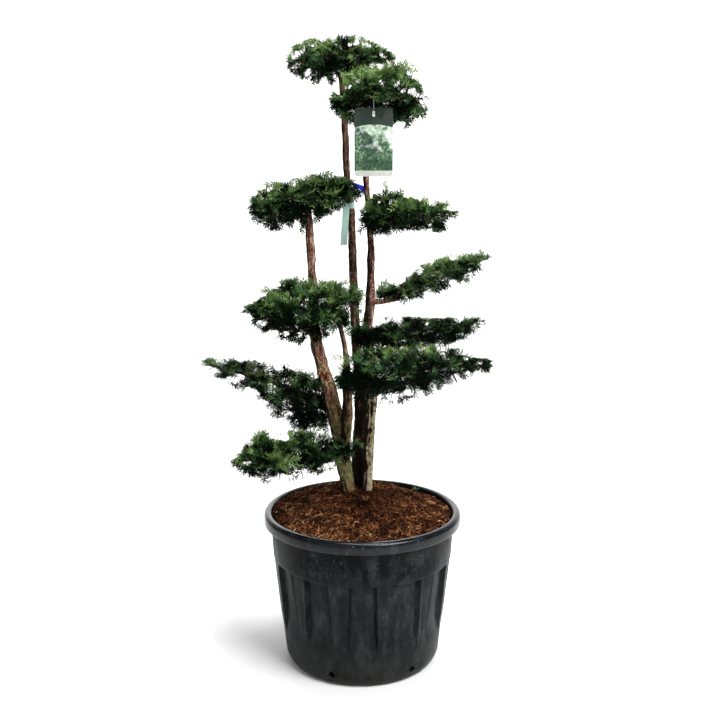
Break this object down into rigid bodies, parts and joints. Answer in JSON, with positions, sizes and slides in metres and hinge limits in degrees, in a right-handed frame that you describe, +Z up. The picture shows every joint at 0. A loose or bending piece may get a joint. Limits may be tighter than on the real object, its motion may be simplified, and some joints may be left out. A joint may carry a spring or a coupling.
{
  "type": "potted yew bonsai",
  "caption": "Multi-stem cloud-pruned yew bonsai with clipped foliage pads on bare stems, standing in a round black nursery pot.",
  "frame": {"origin": "centre of the pot's flat underside", "axes": "+Z up the stems, -Y toward the front of the plant, +X to the right seen from the front"},
  "size_m": [1.03, 0.688, 2.1504],
  "materials": {
    "pot_plastic": "satin",
    "soil": "matte",
    "bark": "matte",
    "foliage": "matte",
    "label": "satin",
    "ribbon": "satin",
    "tie": "satin"
  },
  "bodies": {
    "root": {"pot": "pot_plastic", "soil": "soil", "stem_left": "bark", "stem_centre": "bark", "stem_right": "bark", "stem_slim": "bark", "bough_right_upper": "bark", "bough_right_slant": "bark", "bough_right_back": "bark", "bough_right_front": "bark", "bough_left_low": "bark", "bough_left_bottom": "bark", "pad_top_left": "foliage", "pad_top_right": "foliage", "pad_left_upper": "foliage", "pad_right_upper": "foliage", "pad_right_slant": "foliage", "pad_left_middle": "foliage", "pad_right_back": "foliage", "pad_right_front": "foliage", "pad_left_low": "foliage", "pad_left_bottom": "foliage", "hang_label": "label", "ribbon": "ribbon", "stem_tie": "tie"}
  },
  "joints": []
}
